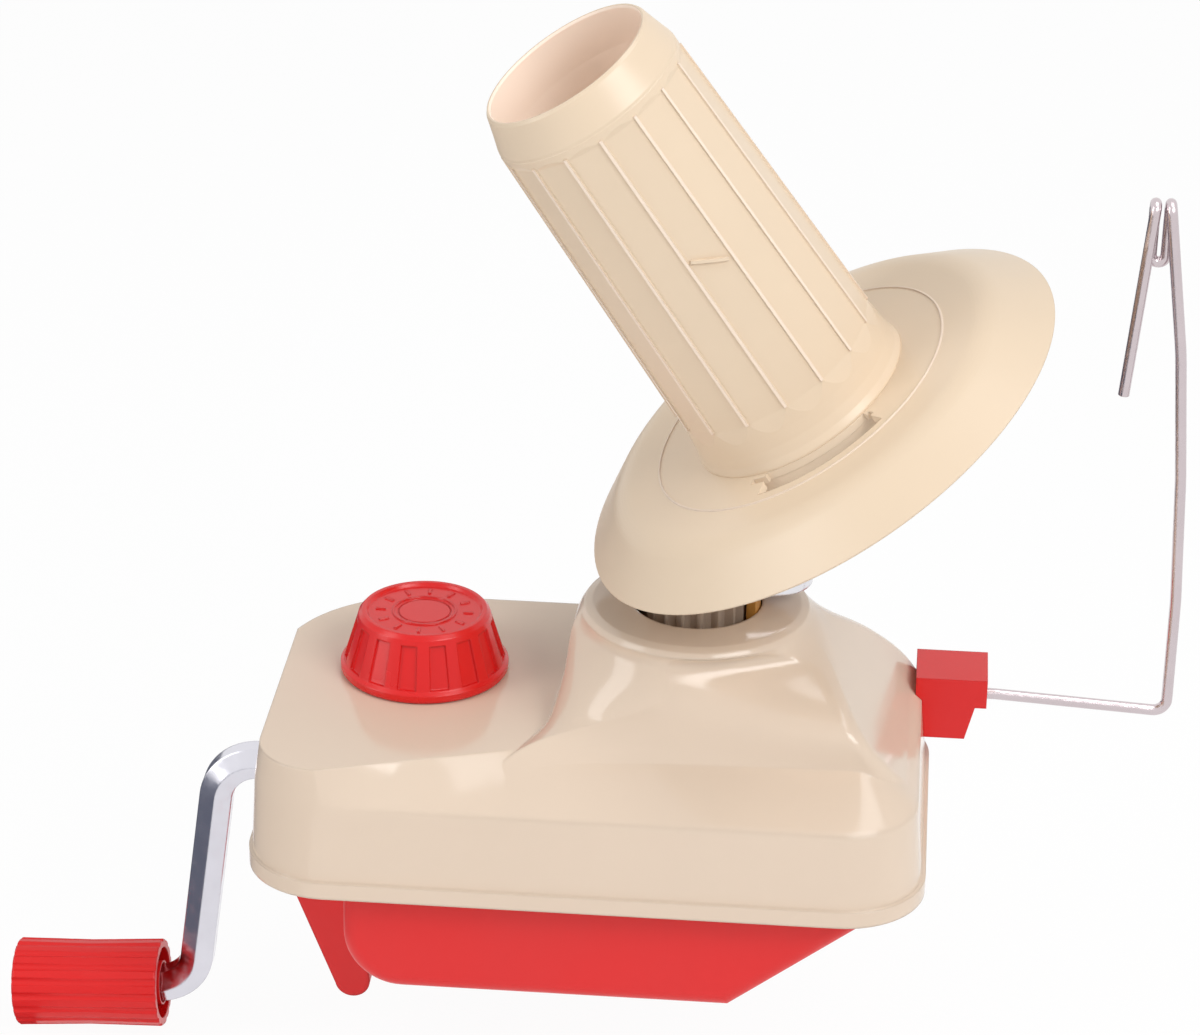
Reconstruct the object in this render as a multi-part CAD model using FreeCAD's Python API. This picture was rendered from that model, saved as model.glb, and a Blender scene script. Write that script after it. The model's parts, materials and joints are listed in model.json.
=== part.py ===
import FreeCAD, Part
import math
import os

# Hand-cranked yarn ball winder, millimetres.
# Frame: +Z up, z = 0 on the flat underside that sits on the table, x = 0 and y = 0 at the
# middle of the housing. The crank is at -X, the yarn guide at +X.

V = FreeCAD.Vector
X_AXIS = V(1, 0, 0)
Y_AXIS = V(0, 1, 0)
Z_AXIS = V(0, 0, 1)

# ---- clearances -------------------------------------------------------------------------
RUN = 0.06            # radial running fit of a shaft in its bush
FREE = 0.3            # gap between pieces that move past each other
SLIP = 0.15           # gap of a piece that is slid into place
SKIN = 0.02           # how far a fused rib reaches into its wall

# ---- housing ----------------------------------------------------------------------------
LENGTH = 160.0        # along x, at the rim
DEPTH = 100.0         # along y, at the rim
CORNER = 20.0         # plan radius of the rim
WALL = 2.4            # shell of the upper housing
RIM_Z = 27.9          # underside of the rim
RIM_H = 4.2           # height of the rim band
RIM_PROUD = 0.6       # how far the band stands out
WALL_TOP = 51.0       # where the upright wall ends
WALL_DRAFT = 1.1      # how far the wall leans in over its height
WALL_RIGHT_LEAN = 0.9 # how much more the right wall leans in
DECK_Z = 60.3         # flat deck under the knob
DECK_INSET = 1.6      # how far the deck's end lies inside the wall top
ROOF_DEPTH = 64.0     # width of the shoulder where it meets the hill, at deck height
ROOF_X = -18.0        # where the deck's sloping front edge ends
BACK_X0 = -5.0        # where the shoulder's back edge starts to slope forward
BACK_X1 = 30.0        # where it ends
ROOF_RIGHT = LENGTH / 2 - 13.0     # right end of the shoulder at deck height
HILL_RIGHT = LENGTH / 2 - 2.7     # right foot of the hill
HILL_FOOT_Z = WALL_TOP - 1.0
FACET_SLOPE = 1.3     # rise of the hill's right face per unit of length
HILL_LEAN = 0.065     # slant of the hill's left side in plan
HILL_LEVELS = [       # height, left side, half width, front and back ends of the right face,
                      # its corner, toe's reach and end, toe's bulge
    (HILL_FOOT_Z, 35.5, 45.0, 28.5, 41.0, 6.0, -12.0, -19.0, -0.15),
    (58.0, 33.2, 36.4, 32.0, 39.0, 5.0, -10.0, -19.0, -0.15),
    (62.0, 31.9, 31.2, 32.6, 35.0, 4.0, -4.0, -18.0, 0.0),
    (68.0, 30.2, 29.3, 32.0, 28.5, 4.0, 12.0, -13.5, 0.35),
    (75.0, 29.3, 28.7, 23.0, 18.5, 4.0, 24.0, -8.0, 0.34)]
NECK_SPLITS = (-94, -60, -24, 24, 60, 94, 171, 189)    # where the neck's outline is cut, degrees
ROOF_CORNER = 15.0    # plan radius of the deck's front left corner
ROOF_NOSE = 6.0       # plan radius of the shoulder's right corners
NECK_Z = 84.0         # where the hill has become round
NECK_R = 27.5         # radius there
NECK_CAP = 2.3        # height of the shallow cap on the neck
NECK_BORE = 15.45     # opening in the neck

# ---- base -------------------------------------------------------------------------------
PLATE_T = 2.2         # base plate that closes the housing
TRAY_WALL = 2.2
TRAY_LEFT = -LENGTH / 2 + 23.5    # tray's left end at the plate
TRAY_RIGHT = LENGTH / 2 - 14.0    # tray's right end at the plate
TRAY_HALF = DEPTH / 2 - 7.0       # half width of the tray
TRAY_FLAT_R = TRAY_RIGHT - 31.0   # right end of the flat underside
TRAY_SLOPE_Z = 23.5   # height where the sloped end meets the upright part
TRAY_ROUND = 14.0     # rounding of the left bottom edge
TRAY_SOFT = 4.0       # rounding of the front and back bottom edges

# ---- spindle, gears ---------------------------------------------------------------------
SPINDLE_X = 23.0
POST_R = 4.0
POST_TOP = 110.3
POST_FOOT = 4.0
BOSS_R = 6.0
BOSS_TOP = 30.0
HUB_R = 6.0
PINION_TEETH = 12
RATIO = 4             # crown gear teeth per pinion tooth
MODULE = 1.25
PINION_R = PINION_TEETH * MODULE / 2
CROWN_R = PINION_R * RATIO
CROWN_FACE = 6.0      # radial length of a crown tooth
CROWN_RIM = 4.5       # thickness behind the teeth
GEAR_ADD = 0.95       # tooth height above the pitch line
GEAR_DED = 1.3        # tooth depth below it
GEAR_THICK = 1.5      # tooth thickness on the pitch line
GEAR_TIP = 0.7        # tooth thickness at the tip
FLANGE_Z0 = 72.6      # underside of the carrier's flange
FLANGE_Z1 = 76.6
TEETH_ROOT_X = SPINDLE_X - PINION_R - GEAR_ADD - 0.35
TEETH_TIP_X = SPINDLE_X - PINION_R + GEAR_ADD
CROWN_BACK_X = TEETH_ROOT_X - CROWN_RIM
CROWN_HUB_X0 = 1.6
CROWN_HUB_X1 = TEETH_ROOT_X - 1.0
CROWN_HUB_R = 8.0
GEAR_PIN_R = 1.0
GEAR_PIN_X = 5.0
SUN_TEETH = 17
SUN_MODULE = 1.3
RING_RATIO = 4
SUN_R = SUN_TEETH * SUN_MODULE / 2
SUN_ADD = 0.8
SUN_DED = 1.2
SUN_THICK = 1.35
SUN_TIP = 0.7
SUN_Z = 77.0          # underside of the fixed sun gear

# ---- crank ------------------------------------------------------------------------------
SHAFT_Z = 36.6
SHAFT_R = 3.5
HEX_FLATS = 8.0       # across flats of the bent rod
ROD_BEND = 10.5       # centre line radius of the bends
ELBOW_X = -LENGTH / 2 - 12.0      # upper bend
KNEE_X = ELBOW_X - 8.4            # lower bend
KNEE_Z = -27.8
LEG_LEAN = 3.1        # degrees by which the grip's outer end hangs lower
KNEE_GAP = 7.9        # from the lower bend's corner to the grip
GRIP_LENGTH = 36.4
GRIP_R = 10.9
GRIP_FLUTES = 18
GRIP_WALL = 2.0
CLIP_T = 0.8          # thickness of the retaining rings
BUSH_R = 5.5
BUSH_BOSS_R = 7.5     # boss around the bush in the housing's wall
BUSH_END = -LENGTH / 2 + 11.0     # inner end of the bush in the housing's wall
BRACKET_X0 = -7.0     # left face of the bearing bracket
BRACKET_X1 = 0.6      # right face of the bracket's bush

# ---- winding head -----------------------------------------------------------------------
TILT = 33.86          # lean of the cone from upright, degrees
TURN = 14.3           # direction of the lean, degrees from the x axis
HEAD_Z = 170.9        # where the cone's axis crosses the spindle's axis
MOUTH_T = 59.6        # the cone's mouth, measured along its axis from that point
MOUTH_R = 20.9
STEP_T = 49.0         # end of the short taper below the mouth
NOTCH = 0.15          # depth of the fine line under the taper
BODY_R = 23.5         # cone radius just below the line
FOOT_R = 26.0         # cone radius above the flare
FOOT_T = -33.0
FLARE_R = 27.3
CONE_WALL = 1.6
LIP = 1.3             # wall at the mouth
CONE_RIBS = 16
FACET_FADE = 5.0      # length over which the flat panels between the ribs fade out
RIB_TURN = 265.0      # direction of the first rib, degrees
RIB_W = 0.8
RIB_H = 0.4
CROSS_T = 11.2        # height of the one short cross line
CROSS_TURN = 276.0
CROSS_LEAN = -32.0
CROSS_LENGTH = 8.8
DISC_T = -41.0        # upper face of the disc at the cone
DISC_FLAT_R = 46.0
DISC_BEND_R = 11.5    # rounding at the end of the flat
DISC_R = 62.4
DISC_RIM_T = -50.3    # lower edge of the disc
DISC_WALL = 2.0
RING_LINE_R = 38.2    # fine raised line on the disc
WINDOW_R0 = FLARE_R + 0.2         # curved window in the disc
WINDOW_R1 = 35.2
WINDOW_START = 237.9
WINDOW_END = 293.8
SKIRT_DROP = 9.0      # how far the disc's inner collar hangs down
RING_T = -46.0        # height of the ring gear's pitch circle
RING_FACE = 3.2
RING_WALL = 4.0
AXLE_R = 3.0
BUSH_OUT = 5.0        # outside of the cone's bush
HEAD_HUB_R = 8.0
HEAD_HUB_T = -57.0    # lower end of the cone's hub
HUB_FLOOR_T = -27.0   # upper end of the cone's hub
BRACKET_T = -58.4     # upper face of the tilted end of the arm
ARM_T = 2.0           # thickness of the steel arm
ARM_W = 16.0          # width of its upright web
ARM_FOOT_W = 20.0     # width of its level part
ARM_Z = 92.6          # upper face of the arm's level part
ARM_REACH = 27.6      # how far the arm reaches from the spindle
WEB_X = 21.0          # near face of the upright web
RISER_R = 15.1
RISER_WALL = 2.4
RIVET_R = 0.75
RIVET_DEPTH = 6.0

# ---- clamp ------------------------------------------------------------------------------
KNOB_X = -LENGTH / 2 + 37.05
KNOB_Y = 8.0
KNOB_H = 15.6
KNOB_R0 = 20.3        # radius at the flange
KNOB_R1 = 15.6        # radius at the top
KNOB_FLUTES = 15
FLUTE_DEPTH = 0.8
SHANK_R = 6.5
SHANK_Z = 43.0        # lower end of the knob's shank
BOLT_R = 3.0
BOLT_TOP = 69.0
BOLT_HOLE_R = 6.2     # wide hole in the tray, so that the bolt can lean with the jaw
INSERT_R = 4.6
INSERT_H = 8.0
KNOB_CLIP_Z = DECK_Z - 9.0
JAW_TOP = -6.0        # gripping face of the jaw's pad at rest
JAW_T = 7.0
PAD_T = 1.5
JAW_LEFT = -LENGTH / 2 + 20.0
JAW_RIGHT = JAW_LEFT + 70.0
JAW_Y0 = 0.0
JAW_Y1 = 24.0
LEG_X0 = -LENGTH / 2 + 6.0
LEG_X1 = LEG_X0 + 7.0
LEG_Y0 = 8.6
LEG_Y1 = 24.0
LEG_FOOT = 8.0        # the leg grows out of the tongue from this height
LEG_TOP = 54.0
TONGUE_Y0 = -10.0
TONGUE_R = 4.3        # rounding of the tongue's tip

# ---- yarn guide -------------------------------------------------------------------------
BLOCK_X1 = LENGTH / 2 + 13.2
BLOCK_Y0 = 22.0
BLOCK_Y1 = 38.0
BLOCK_Z0 = 41.0
BLOCK_Z1 = 57.0
BLOCK_STEP = 8.6      # height of the step in its right end
WIRE_R = 1.35
WIRE_Z = 52.2
WIRE_Y = BLOCK_Y0 + 3.2
WIRE_X = LENGTH / 2 + 56.4        # upright leg of the wire
WIRE_END = LENGTH / 2 + 1.0
EAR_TOP = 180.4       # centre line at the top of the two loops
EAR_X = 48.7          # right loop beyond the housing's end
EAR_PITCH = 3.5       # from loop to loop
EAR_DEPTH = 3.8       # how far each loop reaches back
VALLEY_Z = 165.4      # centre line at the bottom of the valley between them
FREE_END_Z = 133.0    # lower end of the wire's free leg

# ---- screws -----------------------------------------------------------------------------
SCREW_R = 1.5
SCREW_HEAD_R = 3.0
SCREW_HEAD_H = 1.8
SCREW_LEFT = -LENGTH / 2 + 14.0
SCREW_RIGHT = LENGTH / 2 - 8.5
SCREW_SPOTS = [(SCREW_LEFT, -DEPTH / 2 + 16.0), (SCREW_LEFT, DEPTH / 2 - 14.0),
               (SCREW_RIGHT, -DEPTH / 2 + 20.0), (SCREW_RIGHT, DEPTH / 2 - 20.0)]
SCREW_BOSS_R = 4.0


# ---- helpers ----------------------------------------------------------------------------
def cyl(r, p0, p1):
    """Cylinder of radius r from point p0 to point p1."""
    axis = V(*p1) - V(*p0)
    return Part.makeCylinder(r, axis.Length, V(*p0), axis)


def tube(r_out, r_in, p0, p1):
    return cyl(r_out, p0, p1).cut(cyl(r_in, p0, p1))


def box(x0, x1, y0, y1, z0, z1):
    return Part.makeBox(x1 - x0, y1 - y0, z1 - z0, V(x0, y0, z0))


def polygon(points):
    pts = [V(*p) for p in points]
    return Part.makePolygon(pts + [pts[0]])


def prism(points, direction):
    """Solid from a closed flat polygon pushed along direction."""
    return Part.Face(polygon(points)).extrude(V(*direction))


def revolved(profile):
    """Solid of revolution about Z from (radius, z) points."""
    wire = polygon([(r, 0, z) for r, z in profile])
    return Part.Face(wire).revolve(V(0, 0, 0), Z_AXIS, 360)


def rounded_rect(x0, x1, y0, y1, r, z, front_stops=(), back_stops=()):
    """Closed wire of lines and arcs from the front line on; front and back may be split."""
    k = r * (1 - math.sqrt(0.5))
    stops = [x0 + r, *front_stops, x1 - r]
    front = [Part.LineSegment(V(a, y0, z), V(b, y0, z)).toShape() for a, b in zip(stops, stops[1:])]
    stops = [x1 - r, *back_stops, x0 + r]
    back = [Part.LineSegment(V(a, y1, z), V(b, y1, z)).toShape() for a, b in zip(stops, stops[1:])]
    a = Part.Arc(V(x1 - r, y0, z), V(x1 - k, y0 + k, z), V(x1, y0 + r, z)).toShape()
    right = Part.LineSegment(V(x1, y0 + r, z), V(x1, y1 - r, z)).toShape()
    b = Part.Arc(V(x1, y1 - r, z), V(x1 - k, y1 - k, z), V(x1 - r, y1, z)).toShape()
    c = Part.Arc(V(x0 + r, y1, z), V(x0 + k, y1 - k, z), V(x0, y1 - r, z)).toShape()
    left = Part.LineSegment(V(x0, y1 - r, z), V(x0, y0 + r, z)).toShape()
    d = Part.Arc(V(x0, y0 + r, z), V(x0 + k, y0 + k, z), V(x0 + r, y0, z)).toShape()
    return Part.Wire(front + [a, right, b] + back + [c, left, d])


def split_circle(cx, cy, r, z, splits):
    """Circle cut into arcs at the given directions."""
    def at(deg):
        t = math.radians(deg)
        return V(cx + r * math.cos(t), cy + r * math.sin(t), z)

    edges = []
    for start, end in zip(splits, splits[1:] + (splits[0] + 360,)):
        edges.append(Part.Arc(at(start), at((start + end) / 2), at(end)).toShape())
    return Part.Wire(edges)


def loft(*wires):
    return Part.makeLoft(list(wires), True, True)


def placed(shape, placement):
    moved = shape.copy()
    moved.Placement = placement.multiply(moved.Placement)
    return moved


def around(shape, count, centre=(0, 0, 0), axis=(0, 0, 1)):
    """Copies of a shape turned about an axis, as a list."""
    copies = []
    for i in range(count):
        item = shape.copy()
        item.rotate(V(*centre), V(*axis), 360.0 * i / count)
        copies.append(item)
    return copies


HEAD = FreeCAD.Placement(
    V(SPINDLE_X, 0, HEAD_Z),
    FreeCAD.Rotation(Z_AXIS, TURN).multiply(FreeCAD.Rotation(Y_AXIS, -TILT)))
ARM = FreeCAD.Placement(V(SPINDLE_X, 0, 0), FreeCAD.Rotation(Z_AXIS, TURN))
AT_SPINDLE = FreeCAD.Placement(V(SPINDLE_X, 0, 0), FreeCAD.Rotation())
AT_KNOB = FreeCAD.Placement(V(KNOB_X, KNOB_Y, 0), FreeCAD.Rotation())


# ---- gear teeth -------------------------------------------------------------------------
def tooth_polygon(teeth, pitch_r, add, ded, thick, tip, inside=False):
    """Flat-flanked tooth outline about Z with a tooth centred on the x axis."""
    sign = -1 if inside else 1
    tip_r = pitch_r + sign * add
    root_r = pitch_r - sign * ded
    flank = (thick - tip) / 2 / add
    half_root = thick / 2 + flank * ded
    points = []
    for i in range(teeth):
        middle = 2 * math.pi * i / teeth
        for r, half in ((root_r, -half_root), (tip_r, -tip / 2), (tip_r, tip / 2), (root_r, half_root)):
            a = middle + half / r
            points.append((r * math.cos(a), r * math.sin(a)))
    return points


def spur(teeth, pitch_r, add, ded, thick, tip, z0, z1):
    flat = tooth_polygon(teeth, pitch_r, add, ded, thick, tip)
    return prism([(x, y, z0) for x, y in flat], (0, 0, z1 - z0))


# ---- housing ----------------------------------------------------------------------------
def housing_body(inset, drop):
    """The housing's outer form, or its inner form when inset by the wall."""
    hx, hy = LENGTH / 2, DEPTH / 2
    foot = RIM_PROUD + inset
    top = RIM_PROUD + WALL_DRAFT + inset
    r0 = CORNER - foot
    r1 = CORNER - top
    low = RIM_Z
    wall_top = WALL_TOP - drop * 0.5
    deck = DECK_Z - drop
    walls = loft(rounded_rect(-hx + foot, hx - foot, -hy + foot, hy - foot, r0, low),
                 rounded_rect(-hx + top, hx - top - WALL_RIGHT_LEAN, -hy + top, hy - top, r1, wall_top))
    shoulder = loft(rounded_rect(-hx + top, hx - top - WALL_RIGHT_LEAN, -hy + top, hy - top, r1, wall_top,
                                 [ROOF_X], [BACK_X1, BACK_X0]),
                    shoulder_top(inset, deck))
    return walls.fuse([shoulder, hill_form(inset)])


def hill_form(inset):
    """Hill whose outlines go over from a broad foot into the round neck."""
    wires = [hill_outline(inset, *level) for level in HILL_LEVELS]
    wires.append(split_circle(SPINDLE_X, 0, NECK_R - inset, NECK_Z, NECK_SPLITS))
    return Part.makeLoft(wires, True, False)


def hill_outline(inset, z, left, half, front_end, back_end, corner, toe_x, toe_y, bulge):
    """Long straight left side with a toe at its front end, slanting sides, straight right end."""
    x1 = HILL_RIGHT - (z - HILL_FOOT_Z) / FACET_SLOPE - inset
    x0 = SPINDLE_X - left + inset
    half -= inset
    front = right_corner(x1, front_end - inset, half, corner)
    back = right_corner(x1, back_end - inset, half, corner)
    p = [(x0 + toe_x, -half)] + [(x, -y) for x, y in front] + back[::-1]
    p += [(x0 + half - 6.0, half), (x0, half), (x0 - HILL_LEAN * toe_y, -toe_y),
          (x0 + HILL_LEAN * toe_y, toe_y), (x0, -half), (x0 + toe_x, -half)]
    p = [V(x, y, z) for x, y in p]
    edges = [Part.LineSegment(p[0], p[1]), Part.Arc(p[1], p[2], p[3]), Part.LineSegment(p[3], p[4]),
             Part.Arc(p[4], p[5], p[6]), Part.LineSegment(p[6], p[7]), bent(p[7], p[8], p[9], 0.34),
             Part.LineSegment(p[9], p[10]), bent(p[10], p[11], p[12], bulge)]
    return Part.Wire([edge.toShape() for edge in edges])


def right_corner(x1, end, half, corner):
    """Start, middle and end of the arc between a slanting side and the straight right end."""
    slant = V(x1 - SPINDLE_X, half - end, 0).normalize() * corner
    return [(x1 - slant.x, end + slant.y), (x1 - corner * 0.27, end - corner * 0.27 + slant.y * 0.25),
            (x1, end - corner)]


def bent(start, corner, end, bulge):
    """Arc between two points whose middle lies a share of the way out to the corner."""
    if bulge == 0:
        return Part.LineSegment(start, end)
    return Part.Arc(start, (start + end) * 0.5 * (1 - bulge) + corner * bulge, end)


def shoulder_top(inset, z):
    """Outline at deck height: full width at the left end, narrow beside the hill."""
    left = -LENGTH / 2 + RIM_PROUD + WALL_DRAFT + DECK_INSET + inset
    wide = DEPTH / 2 - 3.2 - inset
    narrow = ROOF_DEPTH / 2 - inset * 0.5
    right = ROOF_RIGHT - inset
    r = ROOF_CORNER
    k = r * (1 - math.sqrt(0.5))
    q = ROOF_NOSE
    kq = q * (1 - math.sqrt(0.5))

    def line(a, b):
        return Part.LineSegment(V(*a, z), V(*b, z)).toShape()

    def arc(a, m, b):
        return Part.Arc(V(*a, z), V(*m, z), V(*b, z)).toShape()

    edges = [
        line((left + r, -wide), (ROOF_X, -narrow)),
        line((ROOF_X, -narrow), (right - q, -narrow)),
        arc((right - q, -narrow), (right - kq, -narrow + kq), (right, -narrow + q)),
        line((right, -narrow + q), (right, narrow - q)),
        arc((right, narrow - q), (right - kq, narrow - kq), (right - q, narrow)),
        line((right - q, narrow), (BACK_X1, narrow)),
        line((BACK_X1, narrow), (BACK_X0, wide)),
        line((BACK_X0, wide), (left + 34, wide)),
        arc((left + 34, wide), (left + 10, wide - 8), (left, wide - 22)),
        line((left, wide - 22), (left, -wide + r)),
        arc((left, -wide + r), (left + k, -wide + k), (left + r, -wide)),
    ]
    return Part.Wire(edges)


def neck_cap(r, z, height, bore):
    profile = [(bore, z - 0.5), (r - 1.5, z - 0.5), (r, z), (r - 0.9, z + height * 0.55),
               (r - 2.8, z + height * 0.85), (bore, z + height)]
    return placed(revolved(profile), AT_SPINDLE)


def rim_band():
    hx, hy = LENGTH / 2, DEPTH / 2
    outer = loft(rounded_rect(-hx, hx, -hy, hy, CORNER, RIM_Z),
                 rounded_rect(-hx, hx, -hy, hy, CORNER, RIM_Z + RIM_H))
    inner = loft(rounded_rect(-hx + 2, hx - 2, -hy + 2, hy - 2, CORNER - 2, RIM_Z),
                 rounded_rect(-hx + 2, hx - 2, -hy + 2, hy - 2, CORNER - 2, RIM_Z + RIM_H))
    return outer.cut(inner)


def screw_bosses():
    return [cyl(SCREW_BOSS_R, (x, y, RIM_Z + PLATE_T), (x, y, NECK_Z)) for x, y in SCREW_SPOTS]


def upper_housing():
    outer = housing_body(0, 0)
    inner = housing_body(WALL, WALL)
    cap = neck_cap(NECK_R, NECK_Z, NECK_CAP, 0.0)
    bosses = screw_bosses()
    bosses.append(cyl(SHANK_R + 2.4, (KNOB_X, KNOB_Y, DECK_Z - 8), (KNOB_X, KNOB_Y, DECK_Z - WALL + SKIN)))
    bosses.append(cyl(BUSH_BOSS_R, (-LENGTH / 2 + 2, 0, SHAFT_Z), (-LENGTH / 2 + 9, 0, SHAFT_Z)))
    inside = inner.common(bosses[0].fuse(bosses[1:]))
    shell = outer.fuse(cap).cut(inner).fuse([inside, rim_band()])
    holes = [cyl(NECK_BORE, (SPINDLE_X, 0, NECK_Z - 6), (SPINDLE_X, 0, NECK_Z + 9)),
             cyl(SHANK_R + RUN, (KNOB_X, KNOB_Y, DECK_Z - 12), (KNOB_X, KNOB_Y, DECK_Z + 2)),
             cyl(BUSH_R, (-LENGTH / 2 - 2, 0, SHAFT_Z), (-LENGTH / 2 + 12, 0, SHAFT_Z)),
             stem(SLIP)]
    holes += [cyl(SCREW_R, (x, y, RIM_Z), (x, y, RIM_Z + 16)) for x, y in SCREW_SPOTS]
    for hole in holes:
        shell = shell.cut(hole)
    return shell


# ---- base -------------------------------------------------------------------------------
def tray_form(inset):
    """Tray profile in x and z pushed along y, with rounded front and back bottom edges."""
    left = TRAY_LEFT + inset
    right = TRAY_RIGHT - inset
    slope = (TRAY_RIGHT - TRAY_FLAT_R) / TRAY_SLOPE_Z
    flat_r = TRAY_FLAT_R - inset * (math.sqrt(1 + slope * slope) - slope)
    half = TRAY_HALF - inset
    r = TRAY_ROUND - inset
    bottom = inset
    k = r * (1 - math.sqrt(0.5))
    top = RIM_Z + SKIN
    slope_z = bottom + (right - flat_r) / slope
    y = -half
    edges = [
        Part.LineSegment(V(left, y, top), V(left, y, bottom + r)).toShape(),
        Part.Arc(V(left, y, bottom + r), V(left + k, y, bottom + k), V(left + r, y, bottom)).toShape(),
        Part.LineSegment(V(left + r, y, bottom), V(flat_r, y, bottom)).toShape(),
        Part.LineSegment(V(flat_r, y, bottom), V(right, y, slope_z)).toShape(),
        Part.LineSegment(V(right, y, slope_z), V(right, y, top)).toShape(),
        Part.LineSegment(V(right, y, top), V(left, y, top)).toShape(),
    ]
    form = Part.Face(Part.Wire(edges)).extrude(V(0, 2 * half, 0))
    return form.makeFillet(TRAY_SOFT - inset, side_edges(form, half, top))


def side_edges(form, half, top):
    """Edges around the front and back faces of the tray, without those along its top."""
    chosen = []
    for edge in form.Edges:
        size = edge.BoundBox
        flat = size.YLength < 0.01 and abs(abs(size.Center.y) - half) < 0.01
        if flat and size.ZMin < top - 0.01:
            chosen.append(edge)
    return chosen


def base_tray():
    hx = LENGTH / 2 - RIM_PROUD - WALL - FREE
    hy = DEPTH / 2 - RIM_PROUD - WALL - FREE
    r = CORNER - RIM_PROUD - WALL - FREE
    plate = loft(rounded_rect(-hx, hx, -hy, hy, r, RIM_Z), rounded_rect(-hx, hx, -hy, hy, r, RIM_Z + PLATE_T))
    solid = plate.fuse(tray_form(0))
    opening = tray_form(TRAY_WALL).fuse(box(TRAY_LEFT + TRAY_WALL, TRAY_RIGHT - TRAY_WALL,
                                            -TRAY_HALF + TRAY_WALL, TRAY_HALF - TRAY_WALL,
                                            RIM_Z - 1, RIM_Z + PLATE_T + 1))
    solid = solid.cut(opening)
    solid = solid.fuse(cyl(BOSS_R, (SPINDLE_X, 0, 1), (SPINDLE_X, 0, BOSS_TOP)))
    guide = box(LEG_X0 - 2.2, LEG_X1 + 2.2, LEG_Y0 - 2.2, LEG_Y1 + 2.2, RIM_Z, RIM_Z + 9)
    solid = solid.fuse(guide)
    cuts = [cyl(POST_R, (SPINDLE_X, 0, POST_FOOT), (SPINDLE_X, 0, BOSS_TOP + 1)),
            box(LEG_X0 - FREE, LEG_X1 + FREE, LEG_Y0 - FREE, LEG_Y1 + FREE, RIM_Z - 1, RIM_Z + 10),
            cyl(BOLT_HOLE_R, (KNOB_X, KNOB_Y, -1), (KNOB_X, KNOB_Y, TRAY_WALL + 8)),
            cyl(BUSH_BOSS_R + FREE, (-LENGTH / 2, 0, SHAFT_Z), (BUSH_END + FREE, 0, SHAFT_Z))]
    cuts += [cyl(SCREW_R + SLIP, (x, y, RIM_Z - 1), (x, y, RIM_Z + PLATE_T + 1)) for x, y in SCREW_SPOTS]
    for item in cuts:
        solid = solid.cut(item)
    return solid


def base_screws():
    """Four pan-head screws up through the plate into the housing's bosses."""
    screws = []
    for x, y in SCREW_SPOTS:
        head = cyl(SCREW_HEAD_R, (x, y, RIM_Z - SCREW_HEAD_H), (x, y, RIM_Z))
        slot = box(x - 2.2, x + 2.2, y - 0.4, y + 0.4, RIM_Z - SCREW_HEAD_H - 0.1, RIM_Z - SCREW_HEAD_H + 0.8)
        slot = slot.fuse(box(x - 0.4, x + 0.4, y - 2.2, y + 2.2,
                             RIM_Z - SCREW_HEAD_H - 0.1, RIM_Z - SCREW_HEAD_H + 0.8))
        shank = cyl(SCREW_R, (x, y, RIM_Z), (x, y, RIM_Z + 14))
        screws.append(head.cut(slot).fuse(shank))
    return Part.makeCompound(screws)


# ---- spindle ----------------------------------------------------------------------------
def spindle_post():
    return placed(cyl(POST_R, (0, 0, POST_FOOT), (0, 0, POST_TOP)), AT_SPINDLE)


def sun_gear():
    """Fixed gear on the post; its tooth at the arm's far side meets the ring gear."""
    gear = spur(SUN_TEETH, SUN_R, SUN_ADD, SUN_DED, SUN_THICK, SUN_TIP, SUN_Z, POST_TOP)
    gear = gear.cut(cyl(POST_R, (0, 0, SUN_Z - 1), (0, 0, POST_TOP + 1)))
    gear.rotate(V(0, 0, 0), Z_AXIS, TURN + 180)
    return placed(gear, AT_SPINDLE)


def thrust_washer():
    return placed(tube(HUB_R, POST_R + RUN, (0, 0, BOSS_TOP), (0, 0, BOSS_TOP + 0.8)), AT_SPINDLE)


# ---- rotor ------------------------------------------------------------------------------
def carrier():
    """Nylon carrier: hub on the post, pinion, flange and the curved wall through the neck."""
    hub = cyl(HUB_R, (0, 0, BOSS_TOP + 0.8 + FREE), (0, 0, FLANGE_Z1))
    pinion = spur(PINION_TEETH, PINION_R, GEAR_ADD, GEAR_DED, GEAR_THICK, GEAR_TIP,
                  SHAFT_Z + CROWN_R - CROWN_FACE / 2 - 1, FLANGE_Z0)
    pinion.rotate(V(0, 0, 0), Z_AXIS, 180)
    flange = cyl(RISER_R, (0, 0, FLANGE_Z0), (0, 0, FLANGE_Z1))
    riser = tube(RISER_R, RISER_R - RISER_WALL, (0, 0, FLANGE_Z0), (0, 0, ARM_Z - ARM_T))
    keep = prism([(2, 0, FLANGE_Z0), (30, -24, FLANGE_Z0), (30, 24, FLANGE_Z0)], (0, 0, 40))
    riser = riser.common(keep)
    riser.rotate(V(0, 0, 0), Z_AXIS, TURN)
    solid = hub.fuse([pinion, flange, riser])
    solid = solid.cut(cyl(POST_R + RUN, (0, 0, 20), (0, 0, FLANGE_Z1 + 1)))
    for x, y in rivet_spots():
        hole = cyl(RIVET_R, (x, y, ARM_Z - ARM_T - RIVET_DEPTH), (x, y, ARM_Z))
        hole.rotate(V(0, 0, 0), Z_AXIS, TURN)
        solid = solid.cut(hole)
    return placed(solid, AT_SPINDLE)


def rivet_spots():
    r = RISER_R - RISER_WALL / 2
    return [(r * math.cos(math.radians(a)), r * math.sin(math.radians(a))) for a in (-20, 20)]


def bracket_plane(distance, depth):
    """Point of the tilted plate in the arm's plane: distance out along it, depth below its top."""
    tilt = math.radians(TILT)
    t = BRACKET_T - depth
    base_x = -t * math.sin(tilt)
    base_z = HEAD_Z + t * math.cos(tilt)
    return base_x + distance * math.cos(tilt), base_z + distance * math.sin(tilt)


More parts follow.
